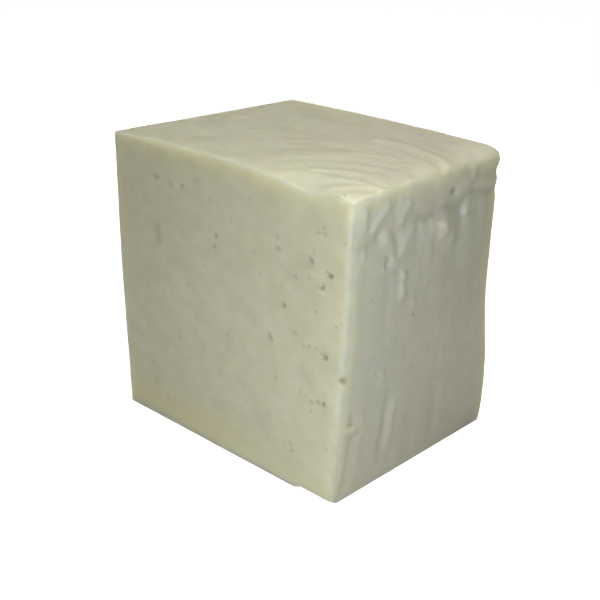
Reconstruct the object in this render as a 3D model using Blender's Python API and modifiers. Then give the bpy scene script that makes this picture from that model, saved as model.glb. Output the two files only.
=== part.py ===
"""A block of white frying cheese, cut by hand from a moulded loaf.

One solid: a slightly skewed block with soft edges, a rounded lip dragged over its right face, concentric
ripples pressed into its top, run marks down its right face, and small eyes opened by the knife in its front.

Units are metres, +Z is up. The origin is on the table, under the middle of the block's box. +X is the face with
the lip and -Y is the cut front.
"""

from math import cos, exp, hypot, pi

import bmesh
import bpy
from mathutils import Matrix, Vector, noise

# ---------------------------------------------------------------- driving dimensions
MM = 0.001
NEAR = 0.1 * MM
LENGTH = 100.5 * MM  # along X
DEPTH = 80.9 * MM  # along Y
HEIGHT = 101.1 * MM  # along Z

CELL = 6.3 * MM  # faces of the plain sides
FINE_CUTS = 2  # further cuts of a cell where the surface is most worked
FINE_TOP = -4.0 * MM  # which on the top is from here to the right
FINE_BELOW_TOP = 26.0 * MM  # and on the right face down to here
RIGHT_CUTS = 1  # further cuts on the rest of the right face

EDGE_ROUND = 1.3 * MM
BASE_EDGE_SHARE = 0.45  # the base's edges are rounded by this share of the others
EDGE_SEGMENTS = 2
EDGE_ANGLE = 0.9  # radians: only the block's own edges are this sharp

# How far the knife left each corner off the true box: (x side, y side, z side) to (x, y, z)
CORNER_SHIFT = {
    (-1, -1, 1): (-2.2 * MM, -1.7 * MM, 0.9 * MM),
    (1, -1, 1): (1.5 * MM, 1.6 * MM, -0.4 * MM),
    (-1, 1, 1): (1.1 * MM, 1.6 * MM, -0.1 * MM),
    (1, 1, 1): (-2.2 * MM, -1.3 * MM, 1.3 * MM),
    (-1, -1, -1): (-0.5 * MM, 0.1 * MM, 0.0),
    (1, -1, -1): (-0.7 * MM, -1.1 * MM, 0.0),
    (-1, 1, -1): (0.0, 0.2 * MM, 0.0),
    (1, 1, -1): (-0.9 * MM, -0.5 * MM, 0.0),
}

# The block's slow swell and waist
CROWN_FRONT, CROWN_BACK = 1.5 * MM, 0.5 * MM  # the top is high in its left middle
CROWN_CENTRE, CROWN_WIDTH = -8.0 * MM, 28.0 * MM
SAG = 1.5 * MM  # and dips at the front edge, short of the right corner
SAG_CENTRE, SAG_WIDTH, SAG_REACH = 33.0 * MM, 8.0 * MM, 12.0 * MM
SIDE_SWELL = 0.7 * MM  # left face, outwards at half height
FRONT_BOW = 1.0 * MM  # right face near the front edge
BACK_WAIST = 0.9 * MM  # right face near the back edge, inwards at half height
BACK_BELLY = 1.1 * MM  # and outwards below it

# The front's bottom edge is chipped from here to the right, along its slant
CHIP_START = 36.5 * MM
CHIP_DEPTH = 0.75 * MM
CHIP_SIZE = 24.0 * MM

# The lip: the top's skin folded over the top edge of the right face, down to a wavy line with a hollow under it
LIP_FRONT_OUT, LIP_BACK_OUT = 0.5 * MM, 1.3 * MM
LIP_FULL = 3.5 * MM  # it stands out fully down to here
LIP_END = 10.5 * MM  # and ends here
LIP_WAVE = 4.0 * MM  # give or take
FOLD_RADIUS_FRONT, FOLD_RADIUS_BACK = 1.8 * MM, 5.0 * MM
HOLLOW_DEPTH = 0.4 * MM
HOLLOW_WIDTH = 3.0 * MM

# The ripples on the top spread from near its front right corner
RIPPLE_CENTRE = (45.0 * MM, -39.0 * MM)
RIPPLE_PITCH = 8.0 * MM
RIPPLE_HEIGHT = 0.42 * MM
RIPPLE_FROM, RIPPLE_TO = 6.0 * MM, 48.0 * MM
RIPPLE_WANDER = 2.4  # radians that noise shifts the rings by
RIPPLE_PATCH = 1.1  # share that noise makes them higher or lower by
NOISE_SIZE = 14.0 * MM

# Worked marks, as (from, to, half width, height). On the top a place is (x, y).
TOP_MARKS = [
    ((12 * MM, 19.5 * MM), (36 * MM, 19.0 * MM), 2.6 * MM, 0.7 * MM),
    ((36 * MM, 19.0 * MM), (48 * MM, 13.5 * MM), 2.6 * MM, 0.9 * MM),
    ((26 * MM, 13.5 * MM), (46 * MM, 9.5 * MM), 2.2 * MM, -0.5 * MM),
    ((16 * MM, 26.5 * MM), (30 * MM, 23.0 * MM), 3.0 * MM, -0.5 * MM),
]
# On the right face a place is (y, z).
RIGHT_MARKS = [
    ((-35 * MM, 96 * MM), (-34 * MM, 92 * MM), 2.0 * MM, 0.6 * MM),
    ((-29 * MM, 92 * MM), (-23 * MM, 97 * MM), 1.6 * MM, 0.6 * MM),
    ((-17 * MM, 94 * MM), (-16 * MM, 90 * MM), 2.4 * MM, 0.7 * MM),
    ((-22 * MM, 79 * MM), (-18 * MM, 78 * MM), 2.0 * MM, 0.5 * MM),
    ((-25 * MM, 81 * MM), (-22 * MM, 80 * MM), 1.6 * MM, -0.7 * MM),
    ((-13 * MM, 68 * MM), (-13 * MM, 66 * MM), 1.8 * MM, 0.6 * MM),
    ((0 * MM, 80 * MM), (1 * MM, 72 * MM), 1.8 * MM, 0.5 * MM),
    ((6 * MM, 85 * MM), (7 * MM, 79 * MM), 2.8 * MM, 0.8 * MM),
    ((21 * MM, 86 * MM), (21 * MM, 79 * MM), 2.6 * MM, 0.7 * MM),
    ((12 * MM, 93 * MM), (15 * MM, 89 * MM), 2.6 * MM, -0.8 * MM),
    ((31 * MM, 84 * MM), (31 * MM, 72 * MM), 2.2 * MM, 0.4 * MM),
    ((-16 * MM, 29 * MM), (-17 * MM, 8 * MM), 2.4 * MM, -0.6 * MM),
    ((-12 * MM, 28 * MM), (-14 * MM, 13 * MM), 2.2 * MM, 0.6 * MM),
    ((-33 * MM, 22 * MM), (-36 * MM, 3 * MM), 2.4 * MM, -0.6 * MM),
    ((11 * MM, 22 * MM), (10 * MM, 2 * MM), 2.8 * MM, -0.4 * MM),
]

# The eyes in the front: (x, z, across, tilt in degrees)
EYES = [
    (42.7 * MM, 76.4 * MM, 2.3 * MM, 30),
    (35.4 * MM, 78.8 * MM, 2.4 * MM, -70),
    (40.2 * MM, 71.8 * MM, 2.0 * MM, 10),
    (35.3 * MM, 73.4 * MM, 1.6 * MM, -80),
    (42.9 * MM, 50.1 * MM, 2.6 * MM, 25),
    (20.7 * MM, 48.5 * MM, 3.0 * MM, -60),
    (43.8 * MM, 34.4 * MM, 2.2 * MM, 20),
    (38.0 * MM, 29.0 * MM, 2.0 * MM, 0),
    (25.8 * MM, 61.8 * MM, 2.0 * MM, 15),
    (38.5 * MM, 63.4 * MM, 1.6 * MM, 15),
    (22.0 * MM, 83.3 * MM, 1.8 * MM, 20),
    (22.8 * MM, 79.8 * MM, 2.0 * MM, 20),
    (-3.6 * MM, 76.8 * MM, 2.4 * MM, 0),
    (-3.9 * MM, 73.0 * MM, 2.4 * MM, 10),
    (-29.6 * MM, 90.2 * MM, 3.0 * MM, 12),
    (-19.6 * MM, 90.1 * MM, 2.0 * MM, 30),
    (-11.4 * MM, 93.2 * MM, 2.2 * MM, 50),
    (-30.0 * MM, 70.0 * MM, 4.2 * MM, -80),
    (40.4 * MM, 89.0 * MM, 2.0 * MM, -40),
    (31.5 * MM, 14.0 * MM, 2.6 * MM, -50),
]
EYE_NARROW = 0.7  # its short side, as a share of its long one
EYE_SINK = 0.45  # its depth, likewise
EYE_SEGMENTS, EYE_RINGS = 8, 6

CHEESE_COLOUR = (0.60, 0.58, 0.44)
CHEESE_ROUGHNESS = 0.42


# ---------------------------------------------------------------- small helpers
def smooth(t):
    t = min(max(t, 0.0), 1.0)
    return t * t * (3 - 2 * t)


def hump(distance, width):
    return exp(-((distance / width) ** 2))


def marks_at(place, marks):
    """The summed height of the marks at a place on their face."""
    total = 0.0
    for start, end, half_width, height in marks:
        along = Vector(end) - Vector(start)
        t = (Vector(place) - Vector(start)).dot(along) / along.length_squared
        nearest = Vector(start) + along * min(max(t, 0.0), 1.0)
        total += height * hump((Vector(place) - nearest).length, half_width)
    return total


# ---------------------------------------------------------------- the shape
def corner_shift(p):
    """The eight corners' shifts, blended over the box."""
    share = {
        1: (p.x / LENGTH + 0.5, p.y / DEPTH + 0.5, p.z / HEIGHT),
        -1: (0.5 - p.x / LENGTH, 0.5 - p.y / DEPTH, 1 - p.z / HEIGHT),
    }
    total = Vector()
    for (x_side, y_side, z_side), shift in CORNER_SHIFT.items():
        weight = share[x_side][0] * share[y_side][1] * share[z_side][2]
        total += weight * Vector(shift)
    return total


def ripples(x, y):
    """Rings pressed into the top, strongest near their centre and gone at RIPPLE_TO."""
    r = hypot(x - RIPPLE_CENTRE[0], y - RIPPLE_CENTRE[1])
    place = Vector((x, y, 0)) / NOISE_SIZE
    wander = RIPPLE_WANDER * noise.noise(place)
    patch = 1 + RIPPLE_PATCH * noise.noise(place + Vector((0, 0, 5)))
    fade = smooth(r / RIPPLE_FROM) * (1 - smooth(r / RIPPLE_TO))
    return RIPPLE_HEIGHT * patch * fade * cos(2 * pi * r / RIPPLE_PITCH + wander)


def top_lift(x, y):
    """How far the top stands above the plain box."""
    crown = CROWN_FRONT + (CROWN_BACK - CROWN_FRONT) * (y / DEPTH + 0.5)
    lift = crown * hump(x - CROWN_CENTRE, CROWN_WIDTH)
    lift -= SAG * hump(x - SAG_CENTRE, SAG_WIDTH) * hump(y + DEPTH / 2, SAG_REACH)
    return lift + ripples(x, y) + marks_at((x, y), TOP_MARKS)


def right_swell(y, z):
    """How far the right face stands out of the plain box."""
    back = y / DEPTH + 0.5
    up = z / HEIGHT
    bow = FRONT_BOW * (1 - back) * (4 * up * (1 - up))
    waist = BACK_BELLY * hump(up - 0.22, 0.16) - BACK_WAIST * hump(up - 0.53, 0.2)
    lip_end = LIP_END + LIP_WAVE * noise.noise(Vector((y, 0, 0)) / NOISE_SIZE)
    lip_out = LIP_FRONT_OUT + (LIP_BACK_OUT - LIP_FRONT_OUT) * back
    lip = lip_out * (1 - smooth((HEIGHT - z - LIP_FULL) / (lip_end - LIP_FULL)))
    hollow = HOLLOW_DEPTH * hump(HEIGHT - z - lip_end, HOLLOW_WIDTH)
    return bow + back * waist + lip - hollow + marks_at((y, z), RIGHT_MARKS)


def folded(p):
    """The box's point p, with the box's top right edge rolled over to the radius of the fold."""
    back = p.y / DEPTH + 0.5
    radius = FOLD_RADIUS_FRONT + (FOLD_RADIUS_BACK - FOLD_RADIUS_FRONT) * back
    over = p.x - LENGTH / 2 + radius
    up = p.z - HEIGHT + radius
    if over <= 0 or up <= 0:
        return p
    scale = max(over, up) / hypot(over, up)
    return Vector((p.x - over + over * scale, p.y, p.z - up + up * scale))


def shaped(p):
    """Where a point of the plain box lies on the real block. Each face's own relief fades out within a cell."""
    on_top = smooth(1 - (HEIGHT - p.z) / CELL)
    on_right = smooth(1 - (LENGTH / 2 - p.x) / CELL)
    on_left = smooth(1 - (LENGTH / 2 + p.x) / CELL)
    up = p.z / HEIGHT
    q = folded(p) + corner_shift(p)
    q.z += on_top * top_lift(p.x, p.y)
    q.x += on_right * right_swell(p.y, p.z) - on_left * SIDE_SWELL * 4 * up * (1 - up)
    return q


# ---------------------------------------------------------------- the block
def plain_block(bm):
    """A box in cells, finer where the top and the right face are worked."""
    bmesh.ops.create_cube(bm, size=1.0)
    cuts = round(LENGTH / CELL) - 1
    bmesh.ops.subdivide_edges(bm, edges=bm.edges[:], cuts=cuts, use_grid_fill=True)
    for vert in bm.verts:
        vert.co = Vector((vert.co.x * LENGTH, vert.co.y * DEPTH, (vert.co.z + 0.5) * HEIGHT))

    def on_right(place):
        return place.x > LENGTH / 2 - NEAR

    def most_worked(place):
        on_top = place.z > HEIGHT - NEAR and place.x > FINE_TOP
        return on_top or (on_right(place) and place.z > HEIGHT - FINE_BELOW_TOP)

    def less_worked(place):
        return on_right(place) and place.z < HEIGHT - FINE_BELOW_TOP

    for is_chosen, cuts in ((most_worked, FINE_CUTS), (less_worked, RIGHT_CUTS)):
        chosen = {edge for face in bm.faces if is_chosen(face.calc_center_median()) for edge in face.edges}
        bmesh.ops.subdivide_edges(bm, edges=list(chosen), cuts=cuts, use_grid_fill=True)
    seams = [face for face in bm.faces if len(face.verts) > 4]
    bmesh.ops.triangulate(bm, faces=seams)


def flatten_base(bm):
    """The base's cells become one face, so that the block stands on a true plane."""
    inner = [face for face in bm.faces if face.calc_center_median().z < NEAR]
    bmesh.ops.dissolve_faces(bm, faces=inner, use_verts=False)


def weigh_edges(bm):
    """Gives the block's own edges their share of the rounding."""
    share = bm.edges.layers.float.new("bevel_weight_edge")
    for edge in bm.edges:
        if edge.calc_face_angle() > EDGE_ANGLE:
            on_base = max(vert.co.z for vert in edge.verts) < NEAR
            edge[share] = BASE_EDGE_SHARE if on_base else 1.0


def make_block(collection, material):
    bm = bmesh.new()
    plain_block(bm)
    flatten_base(bm)
    for vert in bm.verts:
        vert.co = shaped(vert.co)
    weigh_edges(bm)
    mesh = bpy.data.meshes.new("cheese_block")
    bm.to_mesh(mesh)
    bm.free()
    mesh.materials.append(material)
    block = bpy.data.objects.new("cheese_block", mesh)
    collection.objects.link(block)
    return block


# ---------------------------------------------------------------- the eyes and the chip
def add_cutter(collection, name, bm):
    mesh = bpy.data.meshes.new(name)
    bm.to_mesh(mesh)
    bm.free()
    cutter = bpy.data.objects.new(name, mesh)
    cutter.hide_render = True
    cutter.display_type = "WIRE"
    collection.objects.link(cutter)


def make_eye(collection, x, z, across, tilt):
    """A squashed ball, half sunk into the front, that the Boolean takes out of the block."""
    bm = bmesh.new()
    bmesh.ops.create_uvsphere(bm, u_segments=EYE_SEGMENTS, v_segments=EYE_RINGS, radius=across / 2)
    size = Matrix.Diagonal((1.0, 2 * EYE_SINK, EYE_NARROW, 1.0))
    turn = Matrix.Rotation(-tilt * pi / 180, 4, "Y")
    centre = shaped(Vector((x, -DEPTH / 2, z)))
    bmesh.ops.transform(bm, matrix=Matrix.Translation(centre) @ turn @ size, verts=bm.verts[:])
    add_cutter(collection, "eye_cutter", bm)


def make_chip(collection):
    """A cube on its edge, with one face lying along the slant of the chip."""
    bm = bmesh.new()
    bmesh.ops.create_cube(bm, size=CHIP_SIZE)
    outwards = Vector((0, -1, -1)).normalized()
    edge = shaped(Vector((CHIP_START, -DEPTH / 2, 0)))
    centre = edge + Vector((CHIP_SIZE / 2, 0, 0)) + outwards * (CHIP_SIZE / 2 - CHIP_DEPTH)
    turn = Matrix.Rotation(pi / 4, 4, "X")
    bmesh.ops.transform(bm, matrix=Matrix.Translation(centre) @ turn, verts=bm.verts[:])
    add_cutter(collection, "chip_cutter", bm)


def make_cheese_material():
    material = bpy.data.materials.new("white_cheese")
    material.use_nodes = True
    shader = material.node_tree.nodes["Principled BSDF"]
    shader.inputs["Base Color"].default_value = (*CHEESE_COLOUR, 1)
    shader.inputs["Roughness"].default_value = CHEESE_ROUGHNESS
    shader.inputs["Metallic"].default_value = 0.0
    return material


# ---------------------------------------------------------------- build
for old in list(bpy.data.objects):
    bpy.data.objects.remove(old, do_unlink=True)

cheese = bpy.data.collections.new("frying_cheese")
cutters = bpy.data.collections.new("cutters")
bpy.context.scene.collection.children.link(cheese)
bpy.context.scene.collection.children.link(cutters)

block = make_block(cheese, make_cheese_material())
for x, z, across, tilt in EYES:
    make_eye(cutters, x, z, across, tilt)
make_chip(cutters)

rounding = block.modifiers.new("edges", "BEVEL")
rounding.limit_method = "WEIGHT"
rounding.width = EDGE_ROUND
rounding.segments = EDGE_SEGMENTS

cut = block.modifiers.new("eyes_and_chip", "BOOLEAN")
cut.operation = "DIFFERENCE"
cut.operand_type = "COLLECTION"
cut.collection = cutters

block.data.shade_smooth()
block.data.set_sharp_from_angle(angle=EDGE_ANGLE)
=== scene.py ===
"""A block of white frying cheese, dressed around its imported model, on a pale floor in soft studio light."""

from functools import reduce
from math import cos, pi, radians, sin
from random import Random

import bmesh
import bpy
from mathutils import Matrix, Vector, kdtree


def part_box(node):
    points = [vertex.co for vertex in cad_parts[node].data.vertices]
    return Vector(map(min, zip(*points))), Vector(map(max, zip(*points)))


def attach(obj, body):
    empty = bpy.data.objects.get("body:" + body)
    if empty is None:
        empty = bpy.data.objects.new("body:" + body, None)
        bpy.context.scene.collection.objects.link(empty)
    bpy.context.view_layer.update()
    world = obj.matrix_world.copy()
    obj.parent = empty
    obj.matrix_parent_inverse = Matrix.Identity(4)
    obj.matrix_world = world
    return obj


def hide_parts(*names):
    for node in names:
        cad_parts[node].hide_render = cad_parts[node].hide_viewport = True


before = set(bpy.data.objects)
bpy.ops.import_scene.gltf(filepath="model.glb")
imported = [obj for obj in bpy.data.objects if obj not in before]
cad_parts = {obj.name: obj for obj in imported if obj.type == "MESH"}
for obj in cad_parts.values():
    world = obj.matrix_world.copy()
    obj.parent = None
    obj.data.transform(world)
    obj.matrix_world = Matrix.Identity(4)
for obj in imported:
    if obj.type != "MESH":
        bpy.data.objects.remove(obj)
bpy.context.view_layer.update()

# ---------------------------------------------------------------- the block
# A block of pressed white cheese, moist, springy and a little waxy, cut with a long knife out of a moulded
# loaf. It is one piece that stands on its own cut base. It is modelled as a box whose corners go where the
# knife left them, and whose cells are then pressed and pulled as the soft cheese was.
MM = 0.001
WIDTH, DEPTH, HEIGHT = 100, 80.4, 101  # of the block without its lip, in millimetres
low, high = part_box("cheese_block")

# Each corner of the block, from that corner of its box, in millimetres
CORNER_SHIFTS = {
    "front left top": (0.10, 0.0, -1.44),
    "front right top": (-0.80, 3.29, -2.74),
    "back left top": (3.40, 0.0, -2.44),
    "back right top": (-4.50, -2.89, -1.04),
    "front left base": (1.80, 1.79, 0.0),
    "front right base": (-3.00, 0.59, 0.0),
    "back left base": (2.30, -1.39, 0.0),
    "back right base": (-3.20, -2.09, 0.0),
}
# The corners of each side as seen from outside, from the top left one on in rows. The top is seen with the
# front towards the viewer.
SIDE_CORNERS = {
    "front": ("front left top", "front right top", "front left base", "front right base"),
    "right": ("front right top", "back right top", "front right base", "back right base"),
    "back": ("back right top", "back left top", "back right base", "back left base"),
    "left": ("back left top", "front left top", "back left base", "front left base"),
    "top": ("back left top", "back right top", "front left top", "front right top"),
}
SIDE_SIZES = {
    "front": (WIDTH, HEIGHT),
    "right": (DEPTH, HEIGHT),
    "back": (WIDTH, HEIGHT),
    "left": (DEPTH, HEIGHT),
    "top": (WIDTH, DEPTH),
}
SIDE_FACES = {
    "front": Vector((0, -1, 0)),
    "right": Vector((1, 0, 0)),
    "back": Vector((0, 1, 0)),
    "left": Vector((-1, 0, 0)),
    "top": Vector((0, 0, 1)),
}
corners = {}
for name, shift in CORNER_SHIFTS.items():
    at_high_end = ("right" in name, "back" in name, "top" in name)
    box_corner = Vector((high if at_high_end[axis] else low)[axis] for axis in range(3))
    corners[name] = box_corner + Vector(shift) * MM


def spot(side, across, down):
    """A place on a side, in millimetres from its left edge, and from its top edge or the top's back edge."""
    top_left, top_right, base_left, base_right = (corners[name] for name in SIDE_CORNERS[side])
    width, height = SIDE_SIZES[side]
    upper = top_left.lerp(top_right, across / width)
    lower = base_left.lerp(base_right, across / width)
    return upper.lerp(lower, down / height)


def along(side, path, step=0.4):
    """Places on a side along a path of (across, down), step millimetres apart."""
    yield spot(side, *path[0])
    for start, end in zip(path, path[1:]):
        count = max(1, round((Vector(end) - Vector(start)).length / step))
        for k in range(count):
            yield spot(side, *Vector(start).lerp(Vector(end), (k + 1) / count))


def work_on(wanted):
    """Leaves only the skin at the wanted places open to the next presses, and returns it with its places."""
    bpy.ops.mesh.select_mode(type="VERT")
    bpy.ops.mesh.reveal(select=False)
    bpy.ops.mesh.select_all(action="DESELECT")
    mesh = bmesh.from_edit_mesh(cheese.data)
    mesh.verts.ensure_lookup_table()
    for vert in mesh.verts:
        if wanted(vert.co):
            vert.select_set(True)
    places = kdtree.KDTree(len(mesh.verts))
    for vert in mesh.verts:
        if vert.select:
            places.insert(vert.co, vert.index)
    places.balance()
    bpy.ops.mesh.hide(unselected=True)
    bpy.ops.mesh.select_all(action="DESELECT")
    return mesh, places


def press(side, path, out, reach, shift=(0, 0, 0), falloff="SMOOTH"):
    """Pulls the skin that work_on left open out of a side along a path, or in where out is negative, fading
    as far as reach from it. A shift drags it in another way as well. All in millimetres."""
    push = (SIDE_FACES[side] * out + Vector(shift)) * MM
    chosen = {places.find(place)[1] for place in along(side, path)}
    for index in chosen:
        skin.verts[index].select_set(True)
    bpy.ops.transform.translate(
        value=push,
        use_proportional_edit=True,
        proportional_edit_falloff=falloff,
        proportional_size=reach * MM,
    )
    for index in chosen:
        skin.verts[index].select_set(False)


def select_faces(wanted):
    """Selects the faces whose middle is at a wanted place."""
    bpy.ops.mesh.select_mode(type="FACE")
    bpy.ops.mesh.select_all(action="DESELECT")
    for face in bmesh.from_edit_mesh(cheese.data).faces:
        if wanted(face.calc_center_median()):
            face.select_set(True)


# The box, with its corners moved
bpy.ops.object.select_all(action="DESELECT")
bpy.ops.mesh.primitive_cube_add(size=1, location=(low + high) / 2, scale=high - low)
cheese = bpy.context.object
cheese.name = "frying_cheese"
bpy.ops.object.transform_apply(location=True, rotation=False, scale=True)
bpy.ops.object.mode_set(mode="EDIT")
for name, shift in CORNER_SHIFTS.items():
    skin, places = work_on(lambda co: True)
    skin.verts[places.find(corners[name])[1]].select_set(True)
    bpy.ops.transform.translate(value=Vector(shift) * MM)

# Its cells, which are half as large where the top and the right side have the most marks
CELLS = 20
FINE_TOP_FROM = -14 * MM  # the top is finer from here to the right
FINE_RIGHT_DOWN_TO = 52 * MM  # and the right side from the top down to here
TOP_BAND, RIGHT_BAND = 5 * MM, 8 * MM
bpy.ops.mesh.select_all(action="SELECT")
bpy.ops.mesh.subdivide(number_cuts=CELLS - 1)
select_faces(
    lambda co: (co.z > high.z - TOP_BAND and co.x > FINE_TOP_FROM)
    or (co.x > high.x - RIGHT_BAND and co.z > FINE_RIGHT_DOWN_TO)
)
bpy.ops.mesh.subdivide(number_cuts=1)

# The slow forms of the sides, each as (side, path, out, reach)
SLOW_FORMS = [
    ("top", [(42.5, 0), (42.5, 80)], 0.5, 56),  # a crown along the top
    ("top", [(42.5, 80)], 1.0, 60),
    ("top", [(83, 80)], -1.5, 14),  # a sag in its front edge
    ("left", [(0, 50), (80, 50)], 0.7, 49),  # a swell of the left side
    ("right", [(0, 50)], 1.0, 50),  # a bow of the right side at its front edge
    ("right", [(80, 48)], -0.9, 34),  # and a waist at its back edge
    ("right", [(80, 79)], 1.1, 27),
]
skin, places = work_on(lambda co: co.z > 1 * MM)
for side, path, out, reach in SLOW_FORMS:
    press(side, path, out, reach)

# The lip: the top's skin is dragged over the right edge and hangs a little out from the side below it. The
# fold is tight at the front corner and slack at the back one, so its presses start further and further back.
LIP_STARTS = (4, 20, 34, 48, 62)
LIP_END = 82
for lip_start in LIP_STARTS:
    press("right", [(lip_start, 1.5), (LIP_END, 1.5)], 0.29, 9.5)
for lip_start in LIP_STARTS:
    press("right", [(lip_start, 0), (LIP_END, 0)], -0.24, 6, shift=(0, 0, -0.24))
press("right", [(56, 4), (68, 3.6), (80, 3)], 0.30, 6)  # the roll of its slack end
press("right", [(80, 4), (80, 100)], 0.35, 44)  # the back edge that it hangs down to
press("right", [(64, 9), (80, 8)], -0.30, 5.5)  # the hollow under its slack end
press("left", [(80, 4), (80, 100)], 0.12, 40)  # and the left side's front edge, which gave way too

# The knife's edges are soft: most of all the upright one between the front and the lip's side, and least
# those of the base
EDGE_ROUND = 3.0 * MM
EDGE_NEAR = 6 * MM
OFF_BASE = 0.1 * MM  # what is higher than this isn't on the flat base


def edge_share(co):
    """The share of the rounding that the block's own edge gets at a place."""
    at_front = co.y < low.y + EDGE_NEAR
    at_right = co.x > high.x - EDGE_NEAR
    at_top = co.z > high.z - EDGE_NEAR
    if co.z < OFF_BASE:
        return 0.08
    if at_right and at_front:
        return 1.15
    if at_top and at_front:
        return 0.5 + 0.45 * (co.x - low.x) / (high.x - low.x)
    if at_top and at_right:
        return 0.7 + 0.4 * (co.y - low.y) / (high.y - low.y)
    return 0.4


bpy.ops.mesh.reveal(select=False)
bpy.ops.mesh.select_mode(type="EDGE")
bpy.ops.mesh.select_all(action="DESELECT")
bpy.ops.mesh.edges_select_sharp(sharpness=radians(50))
skin = bmesh.from_edit_mesh(cheese.data)
edge_values = skin.edges.layers.float
rounded = edge_values.get("bevel_weight_edge") or edge_values.new("bevel_weight_edge")
for edge in skin.edges:
    if edge.select:
        edge[rounded] = edge_share((edge.verts[0].co + edge.verts[1].co) / 2)
bmesh.update_edit_mesh(cheese.data)
bpy.ops.object.mode_set(mode="OBJECT")

rounding = cheese.modifiers.new("edges", "BEVEL")
rounding.limit_method = "WEIGHT"
rounding.width = EDGE_ROUND
rounding.segments = 2
bpy.ops.object.modifier_apply(modifier=rounding.name)
skin_cells = cheese.modifiers.new("skin", "SUBSURF")
skin_cells.levels = skin_cells.render_levels = 2
bpy.ops.object.modifier_apply(modifier=skin_cells.name)

# The eyes: small gas holes and creases that the knife opened, as (path, width, depth, darkness), where
# darkness is the share of olive shade painted into each
EYES = {
    "front": [
        ([(18.8, 10.8), (20.2, 11.0)], 1.7, 0.36, 0.27), ([(26.6, 12.0)], 1.5, 0.34, 0.24),
        ([(31.6, 11.4)], 1.6, 0.36, 0.27), ([(38.5, 8)], 1.6, 0.3, 0.25), ([(44, 13)], 1.5, 0.25, 0.2),
        ([(61, 8.5)], 1.3, 0.25, 0.2), ([(53, 17)], 2.2, 0.2, 0.15),
        ([(19.4, 28.6), (19.8, 32.6)], 3.8, 0.12, 0.27),
        ([(46.4, 24.3), (46.8, 24.3)], 1.7, 0.35, 0.34), ([(46, 28)], 1.7, 0.35, 0.34),
        ([(72, 17.6)], 1.5, 0.35, 0.34), ([(72.5, 21.3), (72.9, 21.3)], 1.6, 0.35, 0.36),
        ([(87.9, 12.3)], 1.3, 0.3, 0.3), ([(90.4, 12)], 1.4, 0.3, 0.32),
        ([(89.9, 10.2)], 1.2, 0.25, 0.22), ([(98, 13)], 1.2, 0.3, 0.3),
        ([(85.4, 21.4), (86.0, 21.7)], 1.9, 0.45, 0.42), ([(86.4, 19.6)], 1.2, 0.2, 0.2),
        ([(86.5, 18.3)], 1.4, 0.2, 0.2), ([(92.9, 24.4), (93.4, 24.4)], 1.8, 0.6, 0.72),
        ([(91.4, 23.7)], 1.4, 0.3, 0.22), ([(85.4, 27.3)], 1.2, 0.3, 0.28),
        ([(80.4, 28.5)], 1.5, 0.3, 0.28), ([(90.6, 28.8)], 1.8, 0.5, 0.55),
        ([(66, 31.5)], 1.3, 0.25, 0.25), ([(76, 39.2)], 1.8, 0.5, 0.6),
        ([(88.5, 37.3)], 1.4, 0.35, 0.4), ([(75.4, 33)], 1.4, 0.2, 0.15),
        ([(58, 42.7)], 1.3, 0.25, 0.25), ([(70.2, 51.5), (71.0, 52.1)], 1.7, 0.45, 0.42),
        ([(92.9, 50.8), (93.3, 50.9)], 1.8, 0.7, 0.75), ([(91.4, 50.0)], 1.5, 0.35, 0.2),
        ([(89.6, 49.2)], 1.3, 0.3, 0.14), ([(86.8, 49.4)], 1.5, 0.3, 0.2),
        ([(84.6, 50.4)], 1.3, 0.25, 0.16), ([(26, 50)], 1.8, 0.25, 0.15),
        ([(52, 57.3)], 1.4, 0.3, 0.35), ([(52, 63)], 1.3, 0.25, 0.25), ([(74, 65)], 1.4, 0.3, 0.25),
        ([(94, 66.7)], 1.7, 0.5, 0.7), ([(91.8, 66.6)], 1.5, 0.35, 0.4),
        ([(89.2, 67.6)], 1.3, 0.3, 0.3), ([(89.0, 70.8)], 1.4, 0.35, 0.35),
        ([(84.0, 66.2)], 1.4, 0.3, 0.22), ([(80.8, 86.2)], 1.6, 0.4, 0.4),
        ([(81.9, 88.0)], 1.6, 0.4, 0.38), ([(15.5, 87)], 2.0, 0.25, 0.2),
        ([(21.5, 92)], 1.7, 0.3, 0.25), ([(71, 79)], 1.3, 0.25, 0.28), ([(34, 45)], 1.2, 0.2, 0.2),
        ([(63, 25)], 1.2, 0.2, 0.2), ([(41, 36)], 1.1, 0.2, 0.2), ([(29, 66)], 1.3, 0.2, 0.2),
        ([(60, 73)], 1.1, 0.25, 0.2), ([(12, 58)], 1.3, 0.2, 0.18), ([(35, 80)], 1.1, 0.2, 0.2),
        ([(81, 47)], 1.2, 0.25, 0.25), ([(68, 86)], 1.2, 0.25, 0.22), ([(97, 40)], 1.1, 0.25, 0.25),
        ([(96.5, 82)], 1.1, 0.25, 0.25), ([(10, 20)], 1.1, 0.2, 0.18), ([(56, 92)], 1.2, 0.2, 0.15),
    ],
    "right": [
        ([(19.2, 22.2), (18.2, 24.0)], 2.2, 0.42, 0.30), ([(35.4, 45.4)], 1.7, 0.4, 0.4),
        ([(12.4, 33.7)], 1.6, 0.3, 0.28), ([(17.5, 60)], 1.6, 0.35, 0.25),
        ([(1.0, 56.6)], 2.6, 0.6, 0.7), ([(52.6, 8.6), (53.8, 9.0)], 2.2, 0.45, 0.4),
        # The four that are pressed in only a few hundredths of a millimetre, along the lip's lower edge, are
        # painted shadow under the lip rather than eyes
        ([(6.4, 73.0)], 2.0, 0.4, 0.25), ([(5, 15.4), (12, 15.2)], 4.0, 0.03, 0.12),
        ([(33, 13.6), (41.6, 14.2)], 2.6, 0.05, 0.14), ([(50.2, 13.6), (59, 14.8)], 4.0, 0.05, 0.18),
        ([(66, 12.2), (79, 14.4)], 2.8, 0.05, 0.10),
    ],
    "top": [([(94.1, 77.8)], 1.4, 0.5, 0.8)],
    "back": [],
    "left": [],
}
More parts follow.
